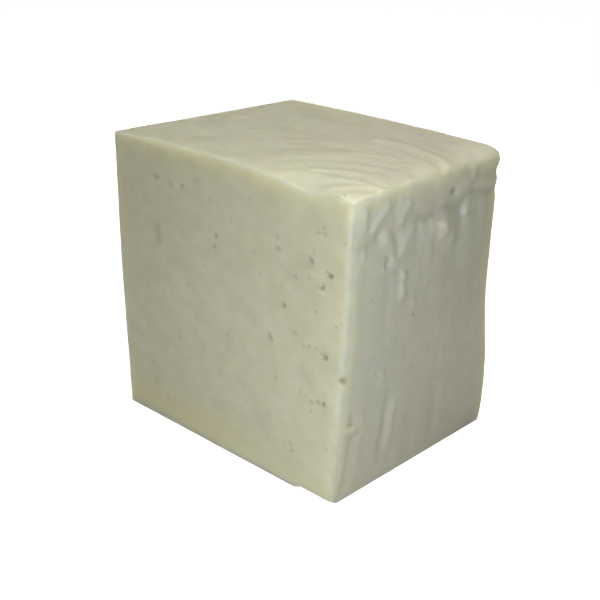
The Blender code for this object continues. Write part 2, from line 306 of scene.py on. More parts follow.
# The back and the left side have theirs by a seeded draw, each side with its count and width
seeds = Random(7)
for side, count, width in (("back", 26, 100), ("left", 20, 80)):
    for k in range(count):
        size = seeds.uniform(1.2, 2.3)
        start = (seeds.uniform(5, width - 5), seeds.uniform(6, 96))
        end = (start[0] + seeds.uniform(-0.9, 0.9), start[1] + seeds.uniform(0, 1.2))
        path = [start, end][: seeds.choice((1, 1, 2))]  # one in three is a crease
        EYES[side].append((path, size, size * seeds.uniform(0.18, 0.34), seeds.uniform(0.15, 0.6)))

# The skin is cut finer around each eye
EYE_ROOM = 1.5 * MM  # at the least
eye_spots = [
    (place, width * MM, darkness)
    for side, eyes in EYES.items()
    for path, width, depth, darkness in eyes
    for place in along(side, path)
]
eye_places = kdtree.KDTree(len(eye_spots))
for number, (place, width, darkness) in enumerate(eye_spots):
    eye_places.insert(place, number)
eye_places.balance()


def near_an_eye(place):
    """Whether a place is within an eye's width of it, or within the least room of a small one."""
    _, number, distance = eye_places.find(place)
    _, width, _ = eye_spots[number]
    return distance < max(width, EYE_ROOM)


bpy.ops.object.mode_set(mode="EDIT")
select_faces(near_an_eye)
bpy.ops.mesh.subdivide(number_cuts=2)
bpy.ops.object.mode_set(mode="OBJECT")  # this numbers the new points
bpy.ops.object.mode_set(mode="EDIT")

# Each eye is pressed in, and its lower rim stands out a little
SIDE_BAND = 7 * MM
NEAR_SIDE = {
    "front": lambda co: co.y < low.y + SIDE_BAND and co.z > OFF_BASE,
    "right": lambda co: co.x > high.x - SIDE_BAND and co.z > OFF_BASE,
    "back": lambda co: co.y > high.y - SIDE_BAND and co.z > OFF_BASE,
    "left": lambda co: co.x < low.x + SIDE_BAND and co.z > OFF_BASE,
    "top": lambda co: co.z > high.z - SIDE_BAND,
}
EYE_REACH = 0.65  # of its width
RIM_HEIGHT = 0.26  # of its depth
for side, eyes in EYES.items():
    skin, places = work_on(NEAR_SIDE[side])
    for path, width, depth, darkness in eyes:
        press(side, path, -depth * (1 + 0.3 * darkness), width * EYE_REACH)
        across, down = path[-1]
        rim = [(across - 0.55 * width, down + 0.65 * width), (across + 0.3 * width, down + 0.85 * width)]
        press(side, rim, RIM_HEIGHT * depth, width * EYE_REACH)


def press_marks(side, marks, ridge, groove):
    """Presses marks into a side, each a (path, height, half width). A raised mark is a ridge and a sunk one a
    groove, and each kind has its press's height and reach, as shares of the mark's height and half width."""
    for path, height, half_width in marks:
        height_share, reach_share = ridge if height > 0 else groove
        press(side, path, height * height_share, half_width * reach_share)


# The marks on the top: ripples that spread from its front right corner, and folds of skin towards the lip
TOP_MARKS = [
    ([(66.3, 24.4), (76.2, 23.2), (87.2, 26), (95.4, 28.8), (104, 32.4)], 0.50, 2.3),
    ([(80, 27.2), (88.2, 29.2), (95.3, 31.7), (102, 34.4)], -0.42, 2.0),
    ([(80, 17), (90, 19.5), (98, 24)], 0.18, 6.0),
    ([(83.4, 14.5), (91.6, 18.0), (98.7, 22.3)], -0.26, 2.8),
    ([(84.1, 6.9), (92.1, 7.8), (99.4, 12.4)], -0.22, 2.6),
    ([(67.4, 16.1), (74.4, 15.6)], -0.20, 3.5),
    ([(66, 34), (74.2, 34.5), (82.5, 34.2), (90.3, 37.2)], -0.22, 2.0),
    ([(88.0, 37.6), (92, 35.9)], 0.12, 2.0),
    ([(75.0, 42.6), (82.3, 40.3), (87.8, 38.5)], -0.20, 2.0),
    ([(71.0, 45.6), (78.4, 41.7), (85.9, 41.9)], -0.16, 2.0),
    ([(72, 53), (80, 48.5), (88.8, 46.5)], -0.16, 2.0),
    ([(66, 50), (74, 44), (84, 38.5)], 0.14, 2.6),
    ([(80, 52), (87.2, 49.5), (93, 49), (99.0, 51.5)], 0.16, 2.4),
    ([(84, 54), (91.0, 53.7), (99.0, 58.7)], -0.24, 1.8),
    ([(88, 54.5), (93.1, 55.4), (99.5, 59.9)], 0.20, 1.8),
    ([(74, 66), (80.2, 61.3), (86.1, 58.8), (96.5, 61.3)], 0.28, 2.0),
    ([(76, 67), (81.5, 62.9), (87.2, 60.9), (97.5, 63.0)], -0.28, 1.7),
    ([(79, 71), (85.1, 67.1), (91.4, 65.3), (98.6, 65.4)], 0.30, 2.2),
    ([(81.3, 74.4), (85.0, 69.4), (89, 67.6)], -0.20, 1.7),
    ([(91.0, 74), (93.9, 69.4), (98.2, 67.8)], -0.28, 1.8),
    ([(86, 76), (90, 71), (95, 67.4)], 0.18, 1.8),
    ([(91, 77.6), (96.8, 75.4), (99.4, 74.0)], 0.24, 2.4),
    ([(69.9, 63.4), (72.7, 57.4)], -0.20, 2.0),
    ([(78, 57), (83.2, 54.0), (87, 52.5)], -0.16, 2.0),
    ([(51.2, 45.3), (53.2, 38.1)], -0.12, 2.4),
    ([(51.9, 56.1), (56.9, 50.7)], -0.12, 2.4),
    ([(57, 66), (61, 56), (68, 47)], 0.12, 3.4),
    ([(62, 70), (66, 61), (71, 54)], -0.10, 2.8),
    ([(46, 60), (50, 48), (55, 39)], 0.10, 4.2),
    ([(32.7, 10.0), (36.1, 3.8)], -0.10, 3.0),
    ([(67.3, 75.5), (72.3, 71.5), (77.4, 69)], 0.20, 3.0),
    ([(74.8, 77), (80, 79.2)], -0.18, 1.8),
]
skin, places = work_on(NEAR_SIDE["top"])
press_marks("top", TOP_MARKS, ridge=(1.15, 1.65), groove=(0.85, 1.4))

# Fainter ripples between them, as short arcs round the same corner
ARCS = 60
ARC_POINTS = 5
ARC_STEP = 4  # degrees from point to point of a wide arc, and more of a narrow one
for k in range(ARCS):
    radius, turn = seeds.uniform(7, 66), seeds.uniform(4, 70)
    path = []
    for step in range(ARC_POINTS):
        angle = radians(turn + step * ARC_STEP * (1 + 12 / radius))
        radius += seeds.uniform(-0.5, 0.5)
        path.append((WIDTH - radius * cos(angle), DEPTH - radius * sin(angle)))
    path = [(across, down) for across, down in path if across < 98 and 2 < down < 78]
    if len(path) > 1:
        press("top", path, seeds.uniform(-0.06, 0.09), seeds.uniform(2.4, 4.4))

# The marks on the right side: lumps under the lip, its wavy end, the runs below it, and the dents of the
# upright edge
RIGHT_MARKS = [
    ([(2, 14.8), (9.5, 15.4), (14, 14.2)], -0.34, 3.4),
    ([(14, 13), (19, 13.6), (23, 14.4)], -0.22, 2.4),
    ([(28, 14.0), (31.5, 13.9), (36.0, 13.3), (39.5, 13.8)], -0.34, 2.6),
    ([(44, 14.2), (50.2, 13.7), (55.2, 14.5), (60, 14.6)], -0.50, 3.2),
    ([(66, 12.1), (72.1, 12.9), (80.5, 14.6)], -0.36, 2.4),
    ([(53.7, 9.5)], -0.60, 2.4),
    ([(63.2, 5.4), (60.4, 3.6)], -0.38, 2.4),
    ([(67.0, 5.0), (73, 6.0), (80.7, 7.6)], -0.50, 2.6),
    ([(69.7, 10.5), (80.3, 11.6)], 0.26, 2.6),
    ([(57.6, 9.5), (60.4, 8.0), (64.1, 6.2)], 0.42, 2.6),
    ([(4.9, 4.8), (5.4, 8.6)], 0.75, 2.0),
    ([(8.4, 5.0), (8.6, 9.0)], -0.10, 2.0),
    ([(10.3, 10.8), (13.5, 8.2), (16.4, 5.9)], 0.34, 1.6),
    ([(20.7, 7.0), (21.4, 4.4)], -0.32, 1.9),
    ([(24.5, 12.1), (26.0, 9.6), (28.0, 7.9)], 0.46, 2.5),
    ([(36, 8), (39, 10)], 0.20, 3.6),
    ([(44.0, 6), (47, 9)], 0.16, 3.6),
    ([(36.7, 16.6), (38.0, 18.9)], 0.30, 2.4),
    ([(47.5, 19.0), (48.6, 20.8), (47.6, 22.4)], 0.70, 2.6),
    ([(49.4, 19.6), (51.6, 21.6), (53, 24)], 1.05, 5.2),
    ([(61.8, 16.6), (62.1, 18.8)], 0.42, 2.6),
    ([(64.0, 21.4), (65.6, 35.5)], 0.24, 3.2),
    ([(43.0, 17.6), (41.6, 23.6), (41.3, 30.0)], 0.38, 2.8),
    ([(30.8, 16.4), (28.4, 19.0), (26.6, 22.6)], 0.40, 3.0),
    ([(16.6, 14.5), (19.3, 17.2), (21.2, 20.4)], 0.32, 2.6),
    ([(22.7, 16.3), (24.1, 20.2)], -0.34, 2.2),
    ([(34.8, 18.3), (34.8, 23.0)], -0.28, 2.4),
    ([(57.8, 18), (58, 29)], -0.24, 3.0),
    ([(6.4, 17.6), (6.4, 18.8)], 0.26, 1.6),
    ([(72.4, 16.5), (72.1, 22.3)], 0.26, 2.8),
    ([(48.2, 27), (47.8, 34), (48.2, 44)], 0.22, 4.2),
    ([(20.9, 24.0), (22.6, 24.8)], 0.75, 2.1),
    ([(27.4, 30.4), (28.6, 31.2)], 0.75, 1.9),
    ([(27.6, 35.0), (27.9, 37.2)], 0.90, 2.1),
    ([(34.4, 41.0), (34.8, 42.4)], 0.45, 2.0),
    ([(9.5, 25.8), (7.3, 31.6), (8.1, 43.2)], -0.14, 2.8),
    ([(21.2, 31.8), (19.9, 41.0), (20.6, 50)], -0.12, 3.0),
    ([(14, 40), (13.6, 50)], 0.12, 3.6),
    ([(20.4, 61.4), (20.4, 63)], 0.55, 2.0),
    ([(54, 66.5), (59, 64)], 0.42, 2.6),
    ([(66, 44), (66.5, 60)], 0.10, 4.0),
    ([(25.0, 71), (24.0, 82), (23.0, 92)], -0.68, 2.2),
    ([(27.8, 75.5), (27.2, 82), (26.2, 89)], 0.58, 1.9),
    ([(6.4, 72.0), (6.3, 74)], -0.50, 1.8),
    ([(5.6, 76.0), (8.4, 76.8)], 0.80, 1.8),
    ([(11.4, 73.6), (11.6, 77)], 0.65, 2.0),
    ([(8.2, 79.5), (6.8, 88), (5.3, 97)], -0.55, 2.2),
    ([(11.4, 82), (10.2, 94)], 0.22, 2.8),
    ([(33, 80), (32.4, 96)], 0.32, 2.8),
    ([(42, 82), (42.2, 96)], 0.14, 3.0),
    ([(51, 78), (50.6, 97)], -0.32, 3.0),
    ([(55, 80), (55, 96)], 0.16, 3.0),
    ([(0.5, 30), (0.8, 35)], 0.20, 2.6),
    ([(0.5, 46.6), (4.0, 47.6)], 0.32, 1.7),
    ([(0.6, 59.4), (3.6, 60.2)], 0.40, 2.0),
    ([(0.4, 69), (0.8, 72)], -0.25, 2.4),
    ([(0.4, 84), (0.8, 90)], 0.18, 3.0),
    ([(0.4, 14), (0.6, 19)], 0.24, 2.6),
]
skin, places = work_on(NEAR_SIDE["right"])
press_marks("right", RIGHT_MARKS, ridge=(1.0, 1.4), groove=(1.0, 1.4))

# The front was cut clean: a few soft drags of the knife's point, many faint ones, and a chip along its bottom
# edge to the right
FRONT_MARKS = [
    ([(70.9, 49.0), (73.4, 49.6)], 0.16, 1.5),
    ([(85.2, 50.2), (89, 51.4), (92, 50.6)], 0.10, 1.0),
    ([(84.2, 24.6), (84.8, 24.9)], 0.50, 1.1),
    ([(86.6, 24.4), (90.6, 26.0)], 0.32, 1.0),
    ([(90.0, 30.8), (91.2, 30.7)], 0.34, 1.0),
    ([(40.2, 67), (41, 69.5)], 0.22, 2.0),
    ([(78, 70.2), (84, 68.2)], 0.12, 1.0),
    ([(81.4, 88.8), (83.8, 90)], 0.16, 1.0),
    ([(20, 12.6), (24, 11.6)], 0.12, 1.2),
    ([(36, 9.8), (40, 9)], 0.10, 1.2),
    ([(20.5, 33.6), (22.5, 33)], 0.10, 2.0),
    ([(54, 44), (62, 49)], -0.06, 3.0),
    ([(30, 52), (44, 60)], 0.06, 4.0),
    ([(60, 62), (76, 56)], 0.06, 4.0),
    ([(10, 70), (26, 74)], -0.07, 5.0),
    ([(64, 8), (80, 12)], 0.06, 4.0),
]
skin, places = work_on(NEAR_SIDE["front"])
press_marks("front", FRONT_MARKS, ridge=(1.0, 1.5), groove=(1.0, 1.5))
FAINT_DRAGS = 44
for k in range(FAINT_DRAGS):
    start = Vector((seeds.uniform(20, 95), seeds.uniform(28, 95)))
    length, slant = seeds.uniform(1, 6), radians(seeds.uniform(15, 50))
    end = start + length * Vector((cos(slant), sin(slant)))
    press("front", [start, end], seeds.uniform(-0.08, 0.10), seeds.uniform(1.7, 2.8))
skin, places = work_on(lambda co: co.y < low.y + SIDE_BAND and co.z < 12 * MM)
press("front", [(86.6, HEIGHT), (WIDTH, HEIGHT)], -0.7, 1.8, shift=(0, 0, 0.75), falloff="ROOT")

# The left side and the back were cut and handled in the same way
for side, count, width in (("back", 22, 100), ("left", 14, 80)):
    skin, places = work_on(NEAR_SIDE[side])
    for k in range(count):
        start = (seeds.uniform(6, width - 6), seeds.uniform(4, 70))
        end = (start[0] + seeds.uniform(-1.5, 1.5), start[1] + seeds.uniform(4, 26))
        press(side, [start, end], seeds.uniform(-0.22, 0.26), seeds.uniform(2.6, 5.5))
bpy.ops.mesh.reveal(select=False)
bpy.ops.object.mode_set(mode="OBJECT")


# The unevenness of the whole skin: it is waved by the mould and the hand, pebbled by the curd, ringed on the
# top round its front right corner, and run down its sides
def fade(value, start, end):
    """From 1 at start to 0 at end, smoothly."""
    t = min(max((value - start) / (end - start), 0), 1)
    return 1 - t * t * (3 - 2 * t)


def add_mask(name, share):
    """A vertex group that holds each point of the skin by its share, from 0 to 1, and spares the base."""
    group = cheese.vertex_groups.new(name=name)
    for vert in cheese.data.vertices:
        weight = share(vert.co, vert.normal) * (1 - fade(vert.co.z, 0, 3 * MM))
        if weight > 0.01:
            group.add([vert.index], weight, "REPLACE")


def clouds(name, size, depth):
    """A cloudy texture of patches of about a size, with finer ones on them to a depth."""
    texture = bpy.data.textures.new(name, "CLOUDS")
    texture.noise_scale = size
    texture.noise_depth = depth
    return texture


def roughen(texture, mask, height, scale=(1, 1, 1), place=(0, 0, 0), turn=(0, 0, 0)):
    """Lifts the skin within a mask by a texture, height from its lowest to its highest."""
    bpy.ops.object.empty_add(location=place, rotation=turn)
    grid = bpy.context.object
    grid.scale = scale
    bpy.context.view_layer.update()
    bpy.context.view_layer.objects.active = cheese
    lift = cheese.modifiers.new(texture.name, "DISPLACE")
    lift.texture = texture
    lift.texture_coords = "OBJECT"
    lift.texture_coords_object = grid
    lift.vertex_group = mask
    lift.strength = height
    lift.mid_level = 0.5
    bpy.ops.object.modifier_apply(modifier=lift.name)
    bpy.data.objects.remove(grid)


RING_CENTRE = spot("top", 96, 80)
RING_PITCH = 3.3 * MM
RING_UNIT = RING_PITCH * 20 / (2 * pi)  # the texture's rings are 2 pi / 20 apart
rings = bpy.data.textures.new("rings", "WOOD")
rings.wood_type = "RINGNOISE"
rings.noise_basis_2 = "SIN"
rings.turbulence = 9
rings.noise_scale = 0.8


def on_rings(co, normal):
    """Strong on the top around its front right corner, but not right at it."""
    radius = (co - RING_CENTRE).length
    return max(normal.z, 0) ** 8 * fade(radius, 28 * MM, 52 * MM) * (1 - 0.8 * fade(radius, 2 * MM, 9 * MM))


def on_strokes(co, normal):
    """Strong on the front, most of all low down and to its right."""
    return max(-normal.y, 0) ** 4 * (0.45 + 0.55 * fade(co.z - 0.6 * co.x, 20 * MM, 75 * MM))


STROKE_SLANT = radians(32)
add_mask("all", lambda co, normal: 1.0)
add_mask("handled", lambda co, normal: max(normal.x, 0.6 * normal.z, 0))
add_mask("run_side", lambda co, normal: max(normal.x, 0) ** 4 * fade(high.z - co.z, 60 * MM, 100 * MM))
add_mask("stroked", on_strokes)
add_mask("run_back", lambda co, normal: 0.7 * max(normal.y, -0.4 * normal.x, 0) ** 2)
add_mask("ringed", on_rings)
roughen(clouds("waves", 15 * MM, 1), "all", 0.22 * MM)
roughen(clouds("lumps", 5 * MM, 1), "handled", 0.16 * MM)
roughen(clouds("curd", 2.6 * MM, 2), "all", 0.07 * MM)
roughen(clouds("runs", 1, 1), "run_side", 0.12 * MM, scale=(20 * MM, 7 * MM, 34 * MM))
roughen(
    clouds("strokes", 1, 2),
    "stroked",
    0.20 * MM,
    scale=(10 * MM, 10 * MM, 3.4 * MM),
    turn=(0, STROKE_SLANT, 0),
)
roughen(clouds("drags", 1, 1), "run_back", 0.16 * MM, scale=(3.6 * MM, 3.6 * MM, 30 * MM))
roughen(rings, "ringed", 0.02 * MM, scale=(RING_UNIT, RING_UNIT, RING_UNIT), place=RING_CENTRE)
cheese.vertex_groups.clear()
bpy.ops.object.select_all(action="DESELECT")
cheese.select_set(True)
bpy.context.view_layer.objects.active = cheese
bpy.ops.object.shade_smooth()

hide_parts("cheese_block")
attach(cheese, "root")

# What the paste's colour follows, as values from 0 to 1 at each point of the skin
EDGE_BAND = 12 * MM
SKIN_INSET = 1.5 * MM  # the sides stand about this far in from the block's box


def edge_near_at(co, normal):
    """How near a point is to one of the block's edges."""
    to_sides = sorted(
        [abs(co.x - low.x - SKIN_INSET), abs(high.x - SKIN_INSET - co.x), abs(co.y - low.y - SKIN_INSET)]
        + [abs(high.y - SKIN_INSET - co.y), abs(high.z - SKIN_INSET - co.z), co.z]
    )
    return max(0, 1 - to_sides[1] / EDGE_BAND)


def upright_at(co):
    """The upright edge between the front and the right side, at a point's height."""
    return corners["front right base"].lerp(corners["front right top"], co.z / high.z)


def to_right_at(co):
    """How far to the right a point is, from 0 to 1."""
    return min(max((co.x - low.x) / (high.x - low.x), 0), 1)


def edge_shade_at(co, normal):
    """How much the skin turns round the upright edge or the top's front edge, where grey-green shade is
    painted to dull the light that the rounded edge catches. It has turned in full where it faces halfway
    between the two sides."""
    turned = min(2.8 * max(0, min(normal.x, -normal.y)), 1)
    turned *= 0.6 * fade((co.xy - upright_at(co).xy).length, 3.5 * MM, 8 * MM)
    turned *= 1 - 0.75 * fade(high.z - co.z, 4 * MM, 16 * MM)
    turned_brow = 1.414 * max(0, min(normal.z, -normal.y)) * (0.08 + 0.55 * to_right_at(co))
    turned_brow *= 1 - fade(high.x - co.x, 3 * MM, 9 * MM)
    return max(turned, turned_brow)


def lit_edge_at(co, normal):
    """How near a point is behind the top's front edge or the upright one, where painted light stands for
    the light that the paste carries round the edge.
    """
    to_right = to_right_at(co)
    brow = corners["front left top"].lerp(corners["front right top"], to_right)
    on_brow = fade(co.y - brow.y, 1 * MM, (7 + 8 * to_right**4) * MM) * fade(brow.z - co.z, 1 * MM, 4 * MM)
    on_brow *= (0.35 + 0.65 * max(normal.z, 0)) * (1 - 0.5 * to_right)
    on_flank = fade(co.y - upright_at(co).y, 2 * MM, 7 * MM) * max(normal.x, 0)
    return max(on_brow, 0.8 * on_flank)


def eye_shade_at(co, normal):
    """How much olive shade is painted inside an eye, or under the lip, at a point."""
    _, number, distance = eye_places.find(co)
    _, width, darkness = eye_spots[number]
    return 0.88 * darkness * fade(distance, 0.0, 0.85 * width)


SKIN_VALUES = {
    "edge_near": edge_near_at,
    "edge_shade": edge_shade_at,
    "lit_edge": lit_edge_at,
    "eye_shade": eye_shade_at,
}
for name, value_at in SKIN_VALUES.items():
    values = cheese.data.attributes.new(name, "FLOAT", "POINT").data
    for vert in cheese.data.vertices:
        values[vert.index].value = value_at(vert.co, vert.normal)

# The paste itself: cream white with a green cast, blotched pink and green, yellower towards its edges,
# moist and waxy, with fine marks of the knife and the hand. Light and shade are painted on it too: a
# buttery glow near the top's front edge and a highlight on a lump of the right side, light behind the
# top's front edge and the upright one and along its base, a cool sheen on the right side, grey-green shade
# on its rounded edges, shade low at the back of the right side, and olive-brown shade in its eyes and
# under the lip's lower edge.
paste = bpy.data.materials.new("white_cheese")
paste.use_nodes = True
nodes, links = paste.node_tree.nodes, paste.node_tree.links
shader = nodes["Principled BSDF"]
position = nodes.new("ShaderNodeTexCoord").outputs["Object"]


def put(socket, value):
    """Links a socket to an output, or sets it."""
    if isinstance(value, bpy.types.NodeSocket):
        links.new(value, socket)
    else:
        socket.default_value = value


def split(vector):
    """The X, Y and Z of a vector."""
    node = nodes.new("ShaderNodeSeparateXYZ")
    put(node.inputs[0], vector)
    return node.outputs["X"], node.outputs["Y"], node.outputs["Z"]


def noise_at(place, per_unit, detail):
    """A noise of about per_unit patches in a unit of place."""
    node = nodes.new("ShaderNodeTexNoise")
    put(node.inputs["Vector"], place)
    put(node.inputs["Scale"], per_unit)
    put(node.inputs["Detail"], detail)
    return node.outputs["Fac"]


def noise(per_metre, detail, stretch=(1, 1, 1), offset=0.0):
    """A noise of about per_metre patches in a metre, squeezed by a stretch and moved by an offset."""
    node = nodes.new("ShaderNodeMapping")
    put(node.inputs["Vector"], position)
    put(node.inputs["Scale"], stretch)
    put(node.inputs["Location"], (offset, offset, offset))
    return noise_at(node.outputs["Vector"], per_metre, detail)


def slanted_noise(size, slant):
    """A noise whose patches have a size in metres and slant down to the right, as seen from the front."""
    node = nodes.new("ShaderNodeMapping")
    node.vector_type = "TEXTURE"
    put(node.inputs["Vector"], position)
    put(node.inputs["Rotation"], (0, slant, 0))
    put(node.inputs["Scale"], size)
    return noise_at(node.outputs["Vector"], 1.0, 2.0)


def span(value, low_in, high_in, low_out=0.0, high_out=1.0):
    """Maps a value's range onto another, smoothly and clamped."""
    node = nodes.new("ShaderNodeMapRange")
    node.interpolation_type = "SMOOTHSTEP"
    put(node.inputs["Value"], value)
    put(node.inputs["From Min"], low_in)
    put(node.inputs["From Max"], high_in)
    put(node.inputs["To Min"], low_out)
    put(node.inputs["To Max"], high_out)
    return node.outputs["Result"]


def over(axis, start, end, low_out=0.0, high_out=1.0):
    """Maps the stretch between two places on an axis, in millimetres, onto a range."""
    return span(axis, start * MM, end * MM, low_out, high_out)


def vector_calc(operation, first, second=(0, 0, 0)):
    """The outputs of a Vector Math node."""
    node = nodes.new("ShaderNodeVectorMath")
    node.operation = operation
    put(node.inputs[0], first)
    put(node.inputs[1], second)
    return node.outputs


def near(side, across, down, reach):
    """1 at a spot of a side, 0 from reach millimetres away."""
    distance = vector_calc("DISTANCE", position, spot(side, across, down))["Value"]
    return span(distance, reach * MM, 0.0)


def calc(operation, *values):
    """A Math node, or a chain of them for more than two values."""

    def join(first, second):
        node = nodes.new("ShaderNodeMath")
        node.operation = operation
        put(node.inputs[0], first)
        put(node.inputs[1], second)
        return node.outputs[0]

    return reduce(join, values)


def product(*values):
    """The values multiplied."""
    return calc("MULTIPLY", *values)


def largest(*values):
    """The largest of the values at each place."""
    return calc("MAXIMUM", *values)


def total(*values):
    """The sum of the values."""
    return calc("ADD", *values)


def tint(amount, under, upper):
    """Lays a colour over another by an amount."""
    node = nodes.new("ShaderNodeMix")
    node.data_type = "RGBA"
    put(node.inputs["Factor"], amount)
    put(node.inputs["A"], under)
    put(node.inputs["B"], upper)
    return node.outputs["Result"]


def skin_value(name):
    """One of the values at the points of the skin."""
    node = nodes.new("ShaderNodeAttribute")
    node.attribute_name = name
    return node.outputs["Fac"]


CREAM = (0.618, 0.606, 0.448, 1)
GREEN = (0.545, 0.585, 0.41, 1)
PINK = (0.645, 0.59, 0.465, 1)
ROSE = (0.595, 0.53, 0.425, 1)
BUTTER_GLOW = (0.78, 0.775, 0.53, 1)
YELLOW = (0.607, 0.605, 0.40, 1)
PALE = (0.71, 0.70, 0.56, 1)
DULL = (0.53, 0.51, 0.37, 1)
EDGE_SHADE = (0.432, 0.458, 0.378, 1)
RIGHT_SHEEN = (0.592, 0.603, 0.477, 1)
RIGHT_EDGE_LIGHT = (0.668, 0.68, 0.545, 1)
OLIVE = (0.668, 0.634, 0.395, 1)
RIGHT_LOW_SHADE = (0.555, 0.52, 0.40, 1)
BASE_LIGHT = (0.86, 0.82, 0.52, 1)
BASE_RIM_LIGHT = (0.95, 0.90, 0.52, 1)
EYE_SHADE = (0.25, 0.205, 0.08, 1)

x, y, z = split(position)
faces_x, _, faces_z = split(nodes.new("ShaderNodeNewGeometry").outputs["Normal"])
on_top = span(faces_z, 0.5, 0.9)
on_right = span(faces_x, 0.5, 0.9)
plain = calc("SUBTRACT", 1.0, total(on_top, on_right))  # the sides that are neither
hidden = largest(over(y, 25, 39), span(faces_x, -0.3, -0.9))  # the back and the left side
curd = noise(190, 3, offset=1.7)
fine_curd = noise(520, 2, offset=5.2)
green_patch = span(noise(42, 2), 0.50, 0.66)
pink_patch = span(noise(34, 2, offset=3.1), 0.46, 0.64)
edge_patch = noise(60, 2, offset=7.7)
smear = slanted_noise((18 * MM, 14 * MM, 5 * MM), STROKE_SLANT)

green_share = product(green_patch, span(plain, 0, 1, 0.15, 0.5), over(x, -40, 10, 0.2, 1))
pink_share = product(
    largest(pink_patch, product(over(x, 0, 40, 0, 0.8), on_top)),
    span(faces_z, 0.5, 0.9, 0.15, 0.6),
    over(y, -42, 0, 0.4, 1),
)
rose_share = product(largest(near("top", 68, 16, 26), product(near("top", 49, 42, 20), 0.6)), on_top)
# A buttery glow painted near the top's front edge, and a highlight painted on the lump of the right side near
# its front top corner
painted_top_glow = product(largest(near("top", 71, 71, 15), product(near("top", 92, 72, 20), 0.7)), on_top)
painted_glow_share = largest(painted_top_glow, near("right", 6, 7, 3.4))
green_front = product(
    largest(near("front", 74, 26, 28), near("front", 62, 84, 20), near("front", 90, 14, 14)), plain
)
yellow_share = product(
    span(skin_value("edge_near"), 0.3, 0.85),
    span(edge_patch, 0.3, 0.6, 0.45, 1),
    over(x, 20, 45, 0.75, 0.25),
    over(x, -47, -38, 0.45, 1),
    span(plain, 0, 1, 0.03, 0.85),
    span(hidden, 0, 1, 1, 0.45),
)
smear_share = product(plain, over(z, 90, 30, 0.35, 1))
# A cool sheen painted on the right side, strongest low down towards its front and again near its top
right_sheen_low = product(over(y, 10, -35, 0, 0.8), over(z, 0, 45, 0.25, 1))
right_sheen_share = product(total(right_sheen_low, over(z, 50, 85, 0, 0.45)), on_right, span(edge_patch, 0.3, 0.6, 0.5, 1))
edge_shade_patch = span(noise(130, 2, offset=2.2), 0.35, 0.65, 0.75, 1.2)

# The layers of its colour, from the ground up, each as (amount, colour)
LAYERS = [
    # blotches of the whole paste, and of the top and the front, with a painted glow and highlight
    (green_share, GREEN),
    (pink_share, PINK),
    (product(rose_share, 0.9), ROSE),
    (product(over(x, 10, -40, 0, 0.16), on_top), PALE),
    (product(painted_glow_share, 0.75), BUTTER_GLOW),
    (product(green_front, 0.4), GREEN),
    (yellow_share, YELLOW),
    # the curd's grain, and the knife's smears across it
    (span(curd, 0.42, 0.72, 0, 0.30), PALE),
    (span(curd, 0.50, 0.28, 0, 0.24), DULL),
    (product(span(smear, 0.5, 0.75, 0, 0.40), smear_share), PALE),
    (product(span(smear, 0.5, 0.27, 0, 0.32), smear_share), DULL),
    # a painted cool sheen on the moist right side, the sides' lowest parts with painted light along the base,
    # a pale spot on the lip near its back, and painted shade low at the back of the right side
    (right_sheen_share, RIGHT_SHEEN),
    (product(over(z, 18, 3), over(x, 35, -10, 0.3, 1), plain), OLIVE),
    # painted light along the base where it meets the floor, strongest in its last two millimetres
    (over(z, 7.5, 0, 0, 0.35), BASE_LIGHT),
    (over(z, 2.2, 0, 0, 0.85), BASE_RIM_LIGHT),
    (product(near("right", 70, 1, 16), 0.45), PALE),
    # painted shade low down towards the back of the right side
    (product(over(z, 50, 0, 0, 0.7), over(y, -15, 35), on_right), RIGHT_LOW_SHADE),
    # painted light behind the top's front edge and the upright one, painted grey-green shade on the
    # rounded edges, and painted shade in the eyes and under the lip's lower edge
    (product(skin_value("lit_edge"), 0.32), tint(on_right, PALE, RIGHT_EDGE_LIGHT)),
    (product(skin_value("edge_shade"), edge_shade_patch), EDGE_SHADE),
    (skin_value("eye_shade"), EYE_SHADE),
]
colour = CREAM
for amount, layer in LAYERS:
    colour = tint(amount, colour, layer)
put(shader.inputs["Base Color"], colour)

# Fine drags: rings round the top's corner, runs down the right side and slanted knife lines elsewhere
RINGS_PER_METRE = 620
RING_BREAKS = 2.6  # in a radian
KNIFE_SLANT = radians(38)
from_centre = vector_calc("SUBTRACT", position, RING_CENTRE)["Vector"]
from_centre_x, from_centre_y, _ = split(from_centre)
ring_place = nodes.new("ShaderNodeCombineXYZ")
put(ring_place.inputs["X"], product(vector_calc("LENGTH", from_centre)["Value"], RINGS_PER_METRE))
put(ring_place.inputs["Y"], product(calc("ARCTAN2", from_centre_y, from_centre_x), RING_BREAKS))
ring_lines = noise_at(ring_place.outputs["Vector"], 1.0, 2.0)
run_lines = noise(1, 2, stretch=(200, 300, 30))
knife_patch = span(noise(38, 1, offset=4.4), 0.4, 0.6, 0.3, 1)
knife_lines = product(slanted_noise((7 * MM, 7 * MM, 1.6 * MM), KNIFE_SLANT), knife_patch)
lines = total(
    product(ring_lines, 0.2, on_top),
    product(run_lines, 0.5, on_right),
    product(knife_lines, 0.7, plain),
)
bump = nodes.new("ShaderNodeBump")
put(bump.inputs["Strength"], 0.35)
put(bump.inputs["Distance"], 0.15 * MM)
put(bump.inputs["Height"], total(product(lines, 0.8), product(curd, 0.7), product(fine_curd, 0.35)))
put(shader.inputs["Normal"], bump.outputs["Normal"])

sheen_patch = span(noise(75, 2, offset=9.3), 0.35, 0.65, -0.03, 0.05)
roughness = calc("SUBTRACT", total(span(curd, 0.3, 0.7, 0.37, 0.45), sheen_patch), product(on_right, 0.05))
put(shader.inputs["Roughness"], roughness)
shader.inputs["Specular IOR Level"].default_value = 0.62
shader.inputs["Subsurface Weight"].default_value = 0.85
shader.inputs["Subsurface Radius"].default_value = (1.0, 0.92, 0.45)
shader.inputs["Subsurface Scale"].default_value = 13 * MM
cheese.data.materials.append(paste)

